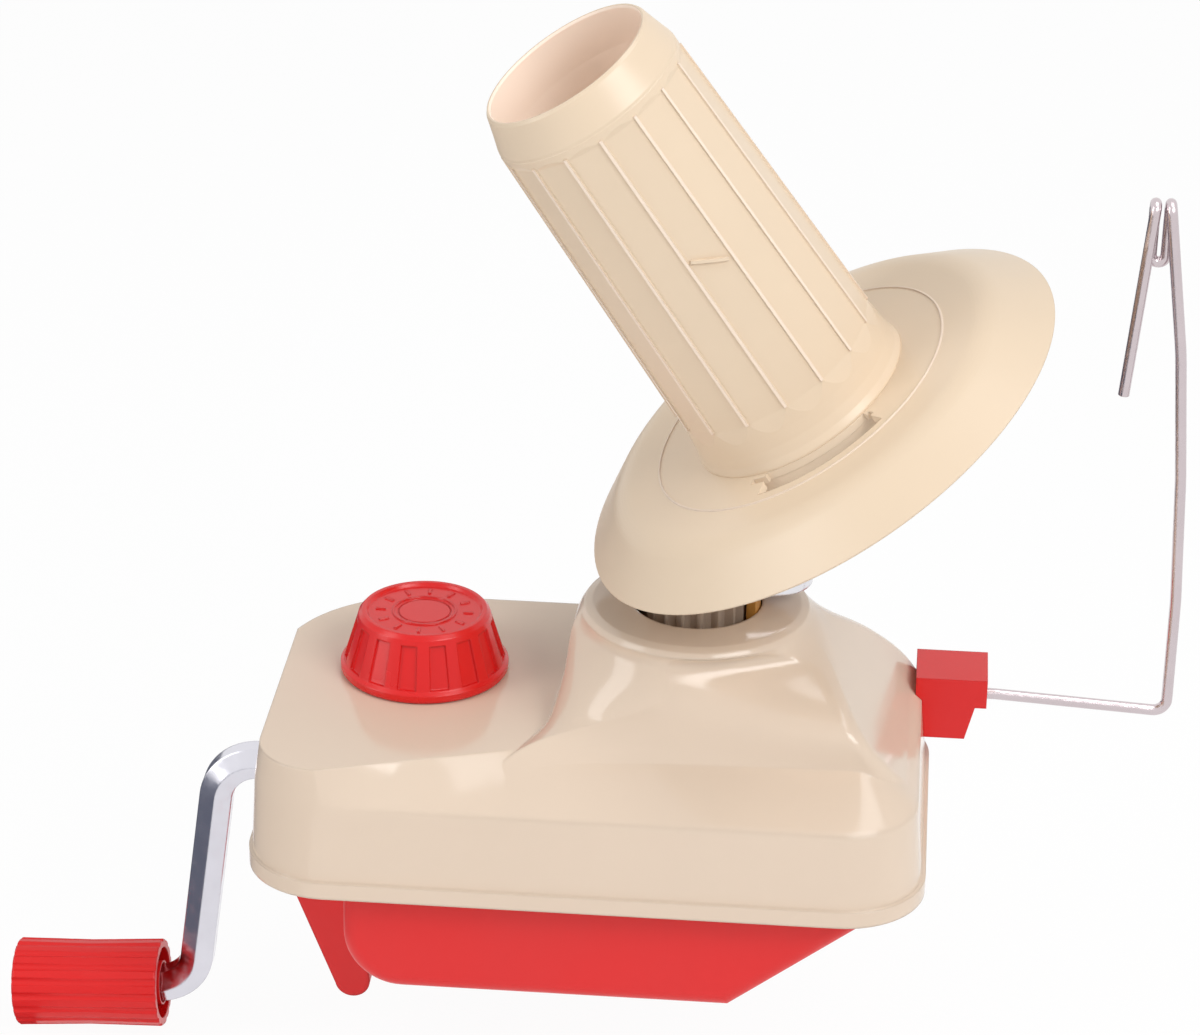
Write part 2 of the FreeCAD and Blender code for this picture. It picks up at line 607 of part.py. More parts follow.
def arm_plate():
    """Steel arm: level rounded foot on the riser, upright web, tilted end that holds the axle."""
    tilt = math.radians(TILT)
    web_end = WEB_X + ARM_T
    z_low = ARM_Z - ARM_T
    reach_in = (WEB_X - bracket_plane(0, 0)[0]) / math.cos(tilt)
    reach_out = (web_end - bracket_plane(0, ARM_T)[0]) / math.cos(tilt)
    side = [(WEB_X, z_low), bracket_plane(reach_in, 0), bracket_plane(9.0, 0),
            bracket_plane(9.0, ARM_T), bracket_plane(reach_out, ARM_T), (web_end, z_low)]
    web = prism([(x, -ARM_W / 2, z) for x, z in side], (0, ARM_W, 0))
    half = ARM_FOOT_W / 2
    foot = box(10.0, ARM_REACH - half, -half, half, z_low, ARM_Z)
    foot = foot.fuse(cyl(half, (ARM_REACH - half, 0, z_low), (ARM_REACH - half, 0, ARM_Z)))
    strip = web.fuse(foot).cut(cyl(RISER_R - RISER_WALL, (0, 0, z_low - 1), (0, 0, ARM_Z + 1)))
    strip = placed(strip, ARM)
    strip = strip.cut(placed(cyl(AXLE_R, (0, 0, BRACKET_T - 6), (0, 0, BRACKET_T + 4)), HEAD))
    for x, y in rivet_spots():
        strip = strip.cut(placed(cyl(RIVET_R, (x, y, z_low - 1), (x, y, ARM_Z + 1)), ARM))
    return strip


def arm_rivets():
    rivets = []
    for x, y in rivet_spots():
        pin = cyl(RIVET_R, (x, y, ARM_Z - ARM_T - RIVET_DEPTH), (x, y, ARM_Z))
        head = cyl(RIVET_R + 0.6, (x, y, ARM_Z), (x, y, ARM_Z + 0.7))
        rivets.append(placed(pin.fuse(head), ARM))
    return Part.makeCompound(rivets)


def axle_pin():
    """Pin along the cone's axis, headed under the tilted plate, grooved for its clip."""
    pin = cyl(AXLE_R, (0, 0, BRACKET_T - ARM_T), (0, 0, HUB_FLOOR_T + 4))
    head = cyl(AXLE_R + 1.6, (0, 0, BRACKET_T - ARM_T - 1.4), (0, 0, BRACKET_T - ARM_T))
    groove = tube(AXLE_R + 1, AXLE_R - 0.7, (0, 0, HUB_FLOOR_T + 1.4), (0, 0, HUB_FLOOR_T + 2.2))
    return placed(pin.fuse(head).cut(groove), HEAD)


def axle_clip():
    clip = tube(AXLE_R + 2.4, AXLE_R - 0.7, (0, 0, HUB_FLOOR_T + 1.4), (0, 0, HUB_FLOOR_T + 2.2))
    clip = clip.cut(box(0, 9, -1.6, 1.6, HUB_FLOOR_T, HUB_FLOOR_T + 4))
    return placed(clip, HEAD)


def axle_washer():
    washer = tube(AXLE_R + 3.2, AXLE_R + RUN, (0, 0, HUB_FLOOR_T + 0.3), (0, 0, HUB_FLOOR_T + 1.1))
    return placed(washer, HEAD)


# ---- winding head -----------------------------------------------------------------------
def cone_radius(t):
    share = (STEP_T - t) / (STEP_T - FOOT_T)
    return BODY_R + (FOOT_R - BODY_R) * share


def cone_profile():
    """Outer outline of the cone from foot to mouth, as radius and height."""
    return [(FLARE_R, DISC_T), (FLARE_R, DISC_T + 0.5), (FLARE_R - 0.6, DISC_T + 2.2),
            (FOOT_R + 0.25, DISC_T + 4.8), (FOOT_R, FOOT_T), (BODY_R, STEP_T),
            (BODY_R, STEP_T + 1.5), (BODY_R - NOTCH, STEP_T + 1.7), (BODY_R - NOTCH, STEP_T + 2.3),
            (MOUTH_R + 1.35, MOUTH_T - 4.8), (MOUTH_R + 0.2, MOUTH_T - 0.7), (MOUTH_R - 0.3, MOUTH_T)]


def panel_cutter():
    """Everything outside the flat panels, which fade into the round wall at both ends."""
    lower, upper = FOOT_T + 4.5, STEP_T - 1.0
    flat = math.cos(math.pi / CONE_RIBS)

    def panel_wire(t, r):
        turns = [math.radians(RIB_TURN) + 2 * math.pi * i / CONE_RIBS for i in range(CONE_RIBS)]
        return polygon([(r * math.cos(a), r * math.sin(a), t) for a in turns])

    low, high = lower - FACET_FADE, STEP_T + 0.5
    form = loft(panel_wire(low, cone_radius(low) / flat + 0.1), panel_wire(lower, cone_radius(lower)),
                panel_wire(upper, cone_radius(upper)), panel_wire(high, cone_radius(high) / flat + 0.1))
    return tube(FOOT_R + 6, BODY_R - 4, (0, 0, low), (0, 0, high)).cut(form)


def cone_ribs():
    """Fine lengthwise ribs and one slanting line, standing on the cone's surface."""
    lower, upper = FOOT_T + 4.5, STEP_T - 0.2
    outside = revolved([(0, lower), (cone_radius(lower) + RIB_H, lower),
                        (cone_radius(upper) + RIB_H, upper), (0, upper)])
    inside = revolved([(0, lower - 1), (cone_radius(lower - 1) - 0.4, lower - 1),
                       (cone_radius(upper + 1) - 0.4, upper + 1), (0, upper + 1)])
    slab = box(BODY_R - 4, FOOT_R + 4, -RIB_W / 2, RIB_W / 2, lower, upper)
    slab.rotate(V(0, 0, 0), Z_AXIS, RIB_TURN)
    slabs = around(slab, CONE_RIBS)
    slabs.append(cross_line())
    return [outside.common(item).cut(inside) for item in slabs]


def cross_line():
    half = CROSS_LENGTH / 2
    slab = box(BODY_R - 4, FOOT_R + 4, -half, half, -RIB_W / 2, RIB_W / 2)
    slab.rotate(V(0, 0, 0), X_AXIS, CROSS_LEAN)
    slab.translate(V(0, 0, CROSS_T))
    slab.rotate(V(0, 0, 0), Z_AXIS, CROSS_TURN)
    return slab


def winding_cone():
    """Open-mouthed cone with its hub and the bore for the bush."""
    outline = cone_profile()
    inner = [(FOOT_R - CONE_WALL, HUB_FLOOR_T), (BODY_R - CONE_WALL - NOTCH, STEP_T),
             (MOUTH_R - LIP + 0.3, MOUTH_T - 0.6), (MOUTH_R - LIP + 0.6, MOUTH_T)]
    wall = revolved([(HEAD_HUB_R, DISC_T)] + outline + inner[::-1] + [(HEAD_HUB_R, HUB_FLOOR_T)])
    hollow = revolved([(HEAD_HUB_R + 2, DISC_T - 1), (FOOT_R - CONE_WALL, DISC_T - 1),
                       (FOOT_R - CONE_WALL, HUB_FLOOR_T - 2.4), (HEAD_HUB_R + 2, HUB_FLOOR_T - 2.4)])
    hub = cyl(HEAD_HUB_R + 2, (0, 0, HEAD_HUB_T), (0, 0, HUB_FLOOR_T))
    solid = wall.cut(hollow).cut(panel_cutter()).fuse(hub)
    solid = solid.fuse(cone_ribs())
    solid = solid.cut(cyl(BUSH_OUT, (0, 0, HEAD_HUB_T - 1), (0, 0, HUB_FLOOR_T + 1)))
    return placed(solid, HEAD)


def cone_bush():
    return placed(tube(BUSH_OUT, AXLE_R + RUN, (0, 0, HEAD_HUB_T), (0, 0, HUB_FLOOR_T)), HEAD)


def spacer_washer():
    """Thrust washer between the tilted plate and the cone's hub."""
    washer = tube(AXLE_R + 3.5, AXLE_R + RUN, (0, 0, BRACKET_T), (0, 0, BRACKET_T + 1.0))
    return placed(washer, HEAD)


def disc_sector(r0, r1, start, end):
    """Ring sector that cuts through the disc, angles in degrees."""
    sector = Part.makeCylinder(r1, 8, V(0, 0, DISC_T - 5), Z_AXIS, end - start)
    sector.rotate(V(0, 0, 0), Z_AXIS, start)
    return sector.cut(cyl(r0, (0, 0, DISC_T - 6), (0, 0, DISC_T + 6)))


def disc_bend():
    """Points of the rounding between the disc's flat and its sloping rim."""
    steep = math.atan2(DISC_T - DISC_RIM_T, DISC_R - DISC_FLAT_R - DISC_BEND_R * 0.33)
    points = []
    for i in range(9):
        a = steep * i / 8
        points.append((DISC_FLAT_R + DISC_BEND_R * math.sin(a), DISC_T - DISC_BEND_R * (1 - math.cos(a))))
    return points


def winding_disc():
    """Hollow dished disc on the cone's foot, with its collar and the curved bayonet window."""
    under = DISC_T - DISC_WALL
    profile = [
        (HEAD_HUB_R + 2, DISC_T), *disc_bend(),
        (DISC_R, DISC_RIM_T), (DISC_R - 0.2, DISC_RIM_T - 0.3), (DISC_R - 2.0, DISC_RIM_T - 0.3),
        (DISC_FLAT_R + 5.3, DISC_T - 3.7), (DISC_FLAT_R + 2.0, under), (HEAD_HUB_R + 2, under)]
    disc = revolved(profile)
    line = RING_LINE_R
    disc = disc.fuse(revolved([(line - 0.25, DISC_T - 0.4), (line + 0.25, DISC_T - 0.4),
                               (line + 0.15, DISC_T + 0.3), (line - 0.15, DISC_T + 0.3)]))
    disc = disc.fuse(tube(FLARE_R, FLARE_R - CONE_WALL, (0, 0, DISC_T - SKIRT_DROP), (0, 0, DISC_T - 1)))
    windows = [disc_sector(WINDOW_R0, WINDOW_R1, WINDOW_START, WINDOW_END),
               disc_sector(WINDOW_R0 + 1.2, WINDOW_R0 + 3.0, WINDOW_START - 7.0, WINDOW_START + 1.0),
               disc_sector(WINDOW_R0 + 1.2, WINDOW_R0 + 3.0, WINDOW_END - 1.0, WINDOW_END + 2.0)]
    for window in windows:
        disc = disc.cut(window)
    return placed(disc, HEAD)


def ring_gear():
    """Internal gear; its toothed wall leans so that the teeth stand upright where they mesh."""
    lean = math.tan(math.radians(TILT))
    low = RING_T - RING_FACE / 2
    high = DISC_T - DISC_WALL
    pitch = SUN_R * RING_RATIO
    teeth = SUN_TEETH * RING_RATIO

    def cavity_wire(t):
        scale = (pitch - (t - RING_T) * lean) / pitch
        flat = tooth_polygon(teeth, pitch, SUN_ADD, SUN_DED, SUN_THICK, SUN_TIP, inside=True)
        return polygon([(x * scale, y * scale, t) for x, y in flat])

    top = high + 1
    cavity = loft(cavity_wire(low - 1), cavity_wire(top))
    turn = 180 + 180.0 / teeth
    cavity.rotate(V(0, 0, 0), Z_AXIS, turn)
    outer = pitch + SUN_DED + RING_WALL * 0.6
    body = cyl(outer, (0, 0, low), (0, 0, high))
    return placed(body.cut(cavity), HEAD)


# ---- crank ------------------------------------------------------------------------------
def hexagon(centre, across, axis, up):
    """Hexagon face normal to axis, with a corner along up."""
    n = V(*axis)
    n.normalize()
    u = V(*up)
    u = (u - n * u.dot(n))
    u.normalize()
    side = n.cross(u)
    r = across / math.sqrt(3)
    c = V(*centre)
    pts = [c + (u * math.cos(math.radians(60 * i)) + side * math.sin(math.radians(60 * i))) * r
           for i in range(6)]
    return Part.Face(Part.makePolygon(pts + [pts[0]]))


def leg_placement():
    """Frame of the grip: origin at its outer end, local Z along the rod towards the bend."""
    lean = math.radians(LEG_LEAN)
    reach = KNEE_GAP + GRIP_LENGTH
    outer = V(KNEE_X - reach * math.cos(lean), 0, KNEE_Z - reach * math.sin(lean))
    return FreeCAD.Placement(outer, FreeCAD.Rotation(Y_AXIS, 90 - LEG_LEAN))


def rod_bend(start, along, towards, radians):
    """Bent length of the six-sided rod, and the same for either bend."""
    centre = start + towards * ROD_BEND
    face = hexagon(tuple(start), HEX_FLATS, tuple(along), (0, 1, 0))
    return face.revolve(centre, along.cross(towards), math.degrees(radians))


def rod_run(start, end):
    return hexagon(tuple(start), HEX_FLATS, tuple(end - start), (0, 1, 0)).extrude(end - start)


def crank_rod():
    """Bent six-sided rod, turned round where it runs in the housing and in the grip."""
    leg_frame = leg_placement()
    elbow = V(ELBOW_X, 0, SHAFT_Z)
    knee = V(KNEE_X, 0, KNEE_Z)
    outward = V(-1, 0, 0)
    arm = (knee - elbow).normalize()
    leg = leg_frame.Rotation.multVec(V(0, 0, -1))
    first = outward.getAngle(arm)
    second = arm.getAngle(leg)
    reach_1 = ROD_BEND * math.tan(first / 2)
    reach_2 = ROD_BEND * math.tan(second / 2)
    start = V(-LENGTH / 2 - 1.0, 0, SHAFT_Z)
    end = leg_frame.multVec(V(0, 0, GRIP_LENGTH - 6))
    a0, a1 = elbow - outward * reach_1, elbow + arm * reach_1
    b0, b1 = knee - arm * reach_2, knee + leg * reach_2
    inward = (leg - arm * leg.dot(arm)).normalize()
    pieces = [rod_run(start, a0), rod_bend(a0, outward, V(0, 0, -1), first), rod_run(a1, b0),
              rod_bend(b0, arm, inward, second), rod_run(b1, end)]
    journal = cyl(SHAFT_R, (start.x, 0, SHAFT_Z), (CROWN_HUB_X1, 0, SHAFT_Z))
    pin = placed(cyl(SHAFT_R, (0, 0, 3.0), (0, 0, GRIP_LENGTH - 5)), leg_frame)
    solid = pieces[0].fuse(pieces[1:] + [journal, pin])
    groove = tube(SHAFT_R + 1, SHAFT_R - 0.7, (0, 0, 0), (0, 0, CLIP_T))
    solid = solid.cut(placed(groove, shaft_clip_placement()))
    solid = solid.cut(placed(groove, grip_clip_placement()))
    pin_hole = cyl(GEAR_PIN_R, (GEAR_PIN_X, 0, SHAFT_Z - 20), (GEAR_PIN_X, 0, SHAFT_Z + 20))
    return solid.cut(pin_hole)


def shaft_clip_placement():
    return FreeCAD.Placement(V(BUSH_END + 1.2, 0, SHAFT_Z), FreeCAD.Rotation(Y_AXIS, 90))


def grip_clip_placement():
    return leg_placement().multiply(FreeCAD.Placement(V(0, 0, 4.6), FreeCAD.Rotation()))


def crown_gear():
    """Face gear on the crank shaft; its upper teeth drive the upright pinion."""
    hub = cyl(CROWN_HUB_R, (CROWN_HUB_X0, 0, 0), (CROWN_HUB_X1, 0, 0))
    web = cyl(CROWN_R - CROWN_FACE / 2, (CROWN_BACK_X + 1, 0, 0), (TEETH_ROOT_X - 1.2, 0, 0))
    rim = tube(CROWN_R + CROWN_FACE / 2, CROWN_R - CROWN_FACE / 2 - 3,
               (CROWN_BACK_X, 0, 0), (TEETH_ROOT_X, 0, 0))
    root = GEAR_THICK / 2 + 0.42
    tooth = prism([(TEETH_ROOT_X - SKIN, -root, CROWN_R - CROWN_FACE / 2),
                   (TEETH_TIP_X, -GEAR_TIP / 2, CROWN_R - CROWN_FACE / 2),
                   (TEETH_TIP_X, GEAR_TIP / 2, CROWN_R - CROWN_FACE / 2),
                   (TEETH_ROOT_X - SKIN, root, CROWN_R - CROWN_FACE / 2)], (0, 0, CROWN_FACE - 0.2))
    count = PINION_TEETH * RATIO
    tooth.rotate(V(0, 0, 0), X_AXIS, 180.0 / count)
    solid = hub.fuse([web, rim]).fuse(around(tooth, count, axis=(1, 0, 0)))
    hole = cyl(4.6, (-1, 0, 17), (30, 0, 17))
    for item in around(hole, 6, axis=(1, 0, 0)):
        solid = solid.cut(item)
    solid = solid.cut(cyl(SHAFT_R, (-1, 0, 0), (30, 0, 0)))
    solid = solid.cut(cyl(GEAR_PIN_R, (GEAR_PIN_X, 0, -20), (GEAR_PIN_X, 0, 20)))
    solid.translate(V(0, 0, SHAFT_Z))
    return solid


def gear_pin():
    reach = CROWN_HUB_R - 0.3
    return cyl(GEAR_PIN_R, (GEAR_PIN_X, 0, SHAFT_Z - reach), (GEAR_PIN_X, 0, SHAFT_Z + reach))


def crank_bush():
    """Flanged bush in the housing's left wall."""
    sleeve = tube(BUSH_R, SHAFT_R + RUN, (-LENGTH / 2 + 1.2, 0, SHAFT_Z), (BUSH_END, 0, SHAFT_Z))
    flange = tube(BUSH_R + 1.6, SHAFT_R + RUN, (-LENGTH / 2 + 9, 0, SHAFT_Z), (BUSH_END, 0, SHAFT_Z))
    return sleeve.fuse(flange)


def retaining_ring():
    """Open spring ring about Z for the grooves of the rod."""
    ring = tube(SHAFT_R + 2.2, SHAFT_R - 0.7, (0, 0, 0), (0, 0, CLIP_T))
    return ring.cut(box(0, 9, -1.8, 1.8, -1, 2))


def shaft_clip():
    return placed(retaining_ring(), shaft_clip_placement())


def shaft_washer():
    return tube(SHAFT_R + 2.6, SHAFT_R + RUN, (BUSH_END + 0.2, 0, SHAFT_Z), (BUSH_END + 1.1, 0, SHAFT_Z))


def shaft_bracket():
    """Upright bearing bracket on the tray's floor."""
    upright = box(BRACKET_X0, BRACKET_X1 - 3, -9, 9, TRAY_WALL, SHAFT_Z)
    eye = cyl(9, (BRACKET_X0, 0, SHAFT_Z), (BRACKET_X1 - 3, 0, SHAFT_Z))
    foot = box(BRACKET_X0 - 10, BRACKET_X1 - 3, -9, 9, TRAY_WALL, TRAY_WALL + 2.5)
    solid = upright.fuse([eye, foot])
    solid = solid.cut(cyl(BUSH_R, (-20, 0, SHAFT_Z), (10, 0, SHAFT_Z)))
    for y in (-5, 5):
        solid = solid.cut(cyl(SCREW_R, (BRACKET_X0 - 5.5, y, 0), (BRACKET_X0 - 5.5, y, 10)))
    return solid


def bracket_bush():
    sleeve = tube(BUSH_R, SHAFT_R + RUN, (BRACKET_X0, 0, SHAFT_Z), (BRACKET_X1 - 1.5, 0, SHAFT_Z))
    flange = tube(BUSH_R + 1.8, SHAFT_R + RUN, (BRACKET_X1 - 3, 0, SHAFT_Z), (BRACKET_X1, 0, SHAFT_Z))
    return sleeve.fuse(flange)


def bracket_screws():
    screws = []
    x = BRACKET_X0 - 5.5
    top = TRAY_WALL + 2.5
    for y in (-5, 5):
        head = cyl(SCREW_HEAD_R - 0.4, (x, y, top), (x, y, top + 1.6))
        slot = box(x - 1.8, x + 1.8, y - 0.35, y + 0.35, top + 0.9, top + 2)
        shank = cyl(SCREW_R, (x, y, TRAY_WALL), (x, y, top))
        screws.append(head.cut(slot).fuse(shank))
    return Part.makeCompound(screws)


def crank_grip():
    """Fluted, slightly waisted grip with a hollow inner end and a counterbore for its clip."""
    length = GRIP_LENGTH
    outline = [(GRIP_R - 0.4, 0), (GRIP_R, 0.4), (GRIP_R - 0.35, length / 2), (GRIP_R, length - 0.4),
               (GRIP_R - 0.2, length)]
    body = revolved([(0, 0)] + outline + [(0, length)])
    flute = cyl(1.2, (GRIP_R + 0.55, 0, -1), (GRIP_R + 0.55, 0, length + 1))
    for item in around(flute, GRIP_FLUTES):
        body = body.cut(item)
    hollow = tube(GRIP_R - GRIP_WALL, SHAFT_R + 2.0, (0, 0, 9), (0, 0, length + 1))
    body = body.cut(hollow)
    body = body.cut(cyl(SHAFT_R + RUN, (0, 0, -1), (0, 0, length + 1)))
    body = body.cut(cyl(SHAFT_R + 3.4, (0, 0, -1), (0, 0, 5.8)))
    body = body.cut(cyl(HEX_FLATS / math.sqrt(3) + 0.5, (0, 0, length - 6.6), (0, 0, length + 1)))
    return placed(body, leg_placement())


def grip_clip():
    return placed(retaining_ring(), grip_clip_placement())


# ---- clamp ------------------------------------------------------------------------------
def clamp_knob():
    """Fluted knob with a recessed face, plain ticks and a long shank through the deck."""
    z0 = DECK_Z + FREE
    top = z0 + KNOB_H
    lean = (KNOB_R0 - KNOB_R1) / KNOB_H
    profile = [(0, z0), (KNOB_R0 - 0.4, z0), (KNOB_R0, z0 + 0.6), (KNOB_R0, z0 + 2.0),
               (KNOB_R0 - lean * 2.8, z0 + 2.8), (KNOB_R1 + 0.3, top - 1.0), (KNOB_R1 - 0.6, top),
               (KNOB_R1 - 1.6, top), (KNOB_R1 - 2.2, top - 0.8), (0, top - 0.8)]
    body = revolved(profile)
    for item in around(knob_flute(z0, lean), KNOB_FLUTES):
        body = body.cut(item)
    body = body.cut(tube(6.5, 6.1, (0, 0, top - 1.1), (0, 0, top)))
    circle = tube(7.8, 7.3, (0, 0, top - 0.9), (0, 0, top - 0.5))
    ticks = around(box(9.4, 11.8, -0.35, 0.35, top - 0.9, top - 0.5), 12)
    shank = cyl(SHANK_R, (0, 0, SHANK_Z), (0, 0, z0 + 1))
    body = body.fuse([circle, shank] + ticks)
    body = body.cut(cyl(BOLT_R + 0.5, (0, 0, SHANK_Z - 1), (0, 0, top - 2.8)))
    body = body.cut(cyl(INSERT_R, (0, 0, SHANK_Z - 1), (0, 0, SHANK_Z + INSERT_H)))
    groove = tube(SHANK_R + 1, SHANK_R - 0.8, (0, 0, KNOB_CLIP_Z), (0, 0, KNOB_CLIP_Z + 0.8))
    body = body.cut(groove)
    return placed(body, AT_KNOB)


def knob_flute(z0, lean):
    """Flat-bottomed cutter for one flute in the knob's leaning side."""
    def outline(height, width):
        r = KNOB_R0 - lean * height - FLUTE_DEPTH
        z = z0 + height
        half = width / 2
        return polygon([(r, -half, z), (r + 4, -half - 1, z), (r + 4, half + 1, z), (r, half, z)])

    return loft(outline(2.9, 4.4), outline(KNOB_H - 2.4, 3.6))


def knob_insert():
    return placed(tube(INSERT_R, BOLT_R + 0.05, (0, 0, SHANK_Z), (0, 0, SHANK_Z + INSERT_H)), AT_KNOB)


def knob_clip():
    clip = tube(SHANK_R + 2.0, SHANK_R - 0.8, (0, 0, KNOB_CLIP_Z), (0, 0, KNOB_CLIP_Z + 0.8))
    clip = clip.cut(box(0, 12, -2.2, 2.2, KNOB_CLIP_Z - 1, KNOB_CLIP_Z + 2))
    return placed(clip, AT_KNOB)


def clamp_jaw():
    """Jaw under the table edge: ribbed bar, guide leg into the base, rounded tongue in front."""
    top = JAW_TOP - PAD_T
    bar = box(JAW_LEFT, JAW_RIGHT, JAW_Y0, JAW_Y1, top - JAW_T, top)
    leg = box(LEG_X0, LEG_X1, LEG_Y0, LEG_Y1, LEG_FOOT, LEG_TOP)
    tip_x, tip_z = LEG_X0 + 15.0, -18.4
    side = [(-17.0, 14), (-4.0, tip_z - 1.4), (0, tip_z - TONGUE_R),
            (TONGUE_R, tip_z + 0.4), (1.8, 0), (-2.5, 14)]
    tongue = prism([(tip_x + x, TONGUE_Y0, z) for x, z in side], (0, JAW_Y1 - TONGUE_Y0, 0))
    tongue = tongue.fuse(cyl(TONGUE_R, (tip_x, TONGUE_Y0, tip_z), (tip_x, JAW_Y1, tip_z)))
    solid = bar.fuse([leg, tongue])
    solid = solid.cut(cyl(BOLT_R, (KNOB_X, KNOB_Y, -40), (KNOB_X, KNOB_Y, 5)))
    solid = solid.cut(nut_prism(top - JAW_T - 1, top - JAW_T + 4.0, SLIP))
    ribs = [box(x, x + 1.2, JAW_Y0, JAW_Y1, top - SKIN, top + 0.8) for x in (JAW_LEFT + 6, JAW_LEFT + 10)]
    return solid.fuse(ribs)


def nut_prism(z0, z1, grow):
    face = hexagon((KNOB_X, KNOB_Y, z0), 10 + 2 * grow, (0, 0, 1), (1, 0, 0))
    return face.extrude(V(0, 0, z1 - z0))


def clamp_bolt():
    """Bolt held by its six-sided head in the jaw; the knob's insert runs on its thread."""
    seat = JAW_TOP - PAD_T - JAW_T + 4.0
    head = nut_prism(seat - 4.0, seat, 0)
    return head.fuse(cyl(BOLT_R, (KNOB_X, KNOB_Y, seat), (KNOB_X, KNOB_Y, BOLT_TOP)))


def jaw_pad():
    """Rubber pad with cross grooves on the jaw's gripping face."""
    x0 = JAW_LEFT + 26.0
    pad = box(x0, JAW_RIGHT - 2, JAW_Y0 + 2, JAW_Y1 - 2, JAW_TOP - PAD_T, JAW_TOP)
    for i in range(9):
        x = x0 + 4 * (i + 1)
        pad = pad.cut(box(x, x + 1, JAW_Y0, JAW_Y1, JAW_TOP - 0.5, JAW_TOP + 1))
    return pad


# ---- yarn guide -------------------------------------------------------------------------
def stem(grow):
    return box(LENGTH / 2 - 6 - grow, LENGTH / 2 + 2, BLOCK_Y0 + 3 - grow, BLOCK_Y1 - 7 + grow,
               BLOCK_Z0 + 1.6 - grow, BLOCK_Z0 + 9 + grow)


def guide_block():
    """Red socket block on the right wall, with its stem through the wall and a stepped end."""
    step_z = BLOCK_Z0 + BLOCK_STEP
    left = LENGTH / 2 - 12
    side = [(left, BLOCK_Z0), (BLOCK_X1 - 5.0, BLOCK_Z0), (BLOCK_X1 - 2.8, step_z),
            (BLOCK_X1, step_z), (BLOCK_X1, BLOCK_Z1), (left, BLOCK_Z1)]
    block = prism([(x, BLOCK_Y0, z) for x, z in side], (0, BLOCK_Y1 - BLOCK_Y0, 0))
    block = block.cut(wire_bore())
    outside = housing_body(0, 0)
    block = block.cut(outside)
    block = block.cut(box(0, LENGTH / 2 - 4.2, -DEPTH, DEPTH, 0, 100))
    return block.fuse(stem(0).cut(wire_bore()))


def wire_bore():
    return cyl(WIRE_R + RUN, (WIRE_END - 0.5, WIRE_Y, WIRE_Z), (BLOCK_X1 + 5, WIRE_Y, WIRE_Z))


def smooth_path(points, radii):
    """Wire of straight runs joined by tangent arcs."""
    edges = []
    start = V(*points[0])
    for i in range(1, len(points) - 1):
        p = V(*points[i])
        a = V(*points[i - 1]) - p
        b = V(*points[i + 1]) - p
        a.normalize()
        b.normalize()
        half = a.getAngle(b) / 2
        reach = radii[i - 1] / math.tan(half)
        t0 = p + a * reach
        t1 = p + b * reach
        bis = a + b
        bis.normalize()
        centre = p + bis * (radii[i - 1] / math.sin(half))
        middle = centre - bis * radii[i - 1]
        if (t0 - start).Length > 1e-6:
            edges.append(Part.LineSegment(start, t0).toShape())
        edges.append(Part.Arc(t0, middle, t1).toShape())
        start = t1
    edges.append(Part.LineSegment(start, V(*points[-1])).toShape())
    return Part.Wire(edges)


def guide_wire():
    """Bent steel wire: leg in the block, upright, and two loops with a valley for the yarn."""
    y = WIRE_Y
    low = WIRE_Z - 2.3
    back = y + EAR_DEPTH
    right = LENGTH / 2 + EAR_X
    left = right - EAR_PITCH
    points = [
        (WIRE_END, y, WIRE_Z), (BLOCK_X1 + 2.0, y, WIRE_Z), (WIRE_X + 0.4, y, low),
        (WIRE_X + 0.6, y, low + 30), (WIRE_X - 0.6, y, 112), (WIRE_X - 2.9, y, 144),
        (right, y, EAR_TOP), (right, back, EAR_TOP), (right - 0.2, back, VALLEY_Z),
        (left - 0.2, back, VALLEY_Z), (left, back, EAR_TOP), (left, y, EAR_TOP),
        (left - 4.3, y, FREE_END_Z)]
    radii = [3.0, 3.2, 60, 90, 90, 1.85, 1.85, 1.7, 1.7, 1.85, 1.85]
    path = smooth_path(points, radii)
    profile = Part.Wire(Part.makeCircle(WIRE_R, V(*points[0]), X_AXIS))
    return path.makePipeShell([profile], True, True)


# ---- assembly ---------------------------------------------------------------------------
NODES = {
    "upper_housing": upper_housing,
    "base_tray": base_tray,
    "base_screws": base_screws,
    "spindle_post": spindle_post,
    "sun_gear": sun_gear,
    "thrust_washer": thrust_washer,
    "carrier": carrier,
    "arm_plate": arm_plate,
    "arm_rivets": arm_rivets,
    "axle_pin": axle_pin,
    "axle_clip": axle_clip,
    "axle_washer": axle_washer,
    "spacer_washer": spacer_washer,
    "winding_cone": winding_cone,
    "cone_bush": cone_bush,
    "winding_disc": winding_disc,
    "ring_gear": ring_gear,
    "crank_rod": crank_rod,
    "crown_gear": crown_gear,
    "gear_pin": gear_pin,
    "crank_bush": crank_bush,
    "shaft_clip": shaft_clip,
    "shaft_washer": shaft_washer,
    "shaft_bracket": shaft_bracket,
    "bracket_bush": bracket_bush,
    "bracket_screws": bracket_screws,
    "crank_grip": crank_grip,
    "grip_clip": grip_clip,
    "clamp_knob": clamp_knob,
    "knob_insert": knob_insert,
    "knob_clip": knob_clip,
    "clamp_jaw": clamp_jaw,
    "clamp_bolt": clamp_bolt,
    "jaw_pad": jaw_pad,
    "guide_block": guide_block,
    "guide_wire": guide_wire,
}


def main():
    os.makedirs("parts", exist_ok=True)
    for name, make in NODES.items():
        shape = make()
        shape.exportStep("parts/" + name + ".step")
        size = shape.BoundBox
        print(name, "solids", len(shape.Solids), "valid", shape.isValid(), "volume", round(shape.Volume),
              "x %.1f %.1f y %.1f %.1f z %.1f %.1f" % (size.XMin, size.XMax, size.YMin, size.YMax,
                                                      size.ZMin, size.ZMax))


main()
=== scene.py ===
import bpy
import json
import math
from mathutils import Matrix, Vector


